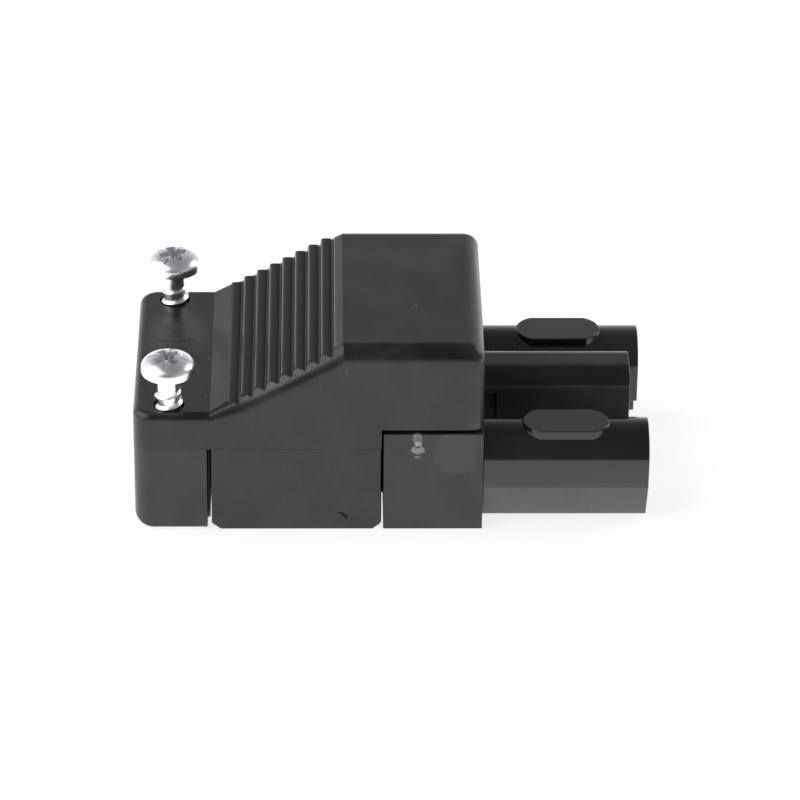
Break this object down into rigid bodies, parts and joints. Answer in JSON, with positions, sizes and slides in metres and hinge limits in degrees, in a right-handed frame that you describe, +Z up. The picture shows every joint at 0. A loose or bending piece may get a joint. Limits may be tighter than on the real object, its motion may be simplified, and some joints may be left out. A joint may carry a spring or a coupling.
{
  "type": "lighting cable connector",
  "caption": "Rewirable cable connector for pluggable lighting, with a ribbed grip cover, a screwed cord grip and insulated fingers that shroud the socket contacts.",
  "frame": {"origin": "below the middle of the part, on the surface that it stands on", "axes": "+X towards the tips of the mating fingers, +Z up through the cover, +Y to the left seen from behind"},
  "size_m": [0.0524, 0.0268, 0.0211],
  "materials": {
    "housing_plastic": "satin moulded black, lightly scuffed",
    "zinc_steel": "bright zinc plated",
    "contact_brass": "plain turned and milled"
  },
  "bodies": {
    "housing": {"cover": "housing_plastic", "base": "housing_plastic", "clamp_jaw": "housing_plastic", "contact_carrier": "housing_plastic", "live_finger": "housing_plastic", "earth_finger": "housing_plastic", "neutral_finger": "housing_plastic", "live_contact": "contact_brass", "live_clamp": "contact_brass", "earth_contact": "contact_brass", "earth_clamp": "contact_brass", "neutral_contact": "contact_brass", "neutral_clamp": "contact_brass"},
    "right_strain_screw": {"strain_screw_right": "zinc_steel"},
    "left_strain_screw": {"strain_screw_left": "zinc_steel"},
    "live_terminal_screw": {"live_screw": "zinc_steel"},
    "earth_terminal_screw": {"earth_screw": "zinc_steel"},
    "neutral_terminal_screw": {"neutral_screw": "zinc_steel"}
  },
  "joints": [
    {"name": "right_strain_screw_drive", "type": "slide", "parent": "housing", "child": "right_strain_screw", "axis": [0, 0, -1], "range_m": [-0.003, 0.0038]},
    {"name": "left_strain_screw_drive", "type": "slide", "parent": "housing", "child": "left_strain_screw", "axis": [0, 0, -1], "range_m": [-0.003, 0.0038]},
    {"name": "live_terminal_screw_drive", "type": "slide", "parent": "housing", "child": "live_terminal_screw", "axis": [0, 0, -1], "range_m": [-0.001, 0.0015]},
    {"name": "earth_terminal_screw_drive", "type": "slide", "parent": "housing", "child": "earth_terminal_screw", "axis": [0, 0, -1], "range_m": [-0.001, 0.0015]},
    {"name": "neutral_terminal_screw_drive", "type": "slide", "parent": "housing", "child": "neutral_terminal_screw", "axis": [0, 0, -1], "range_m": [-0.001, 0.0015]}
  ]
}
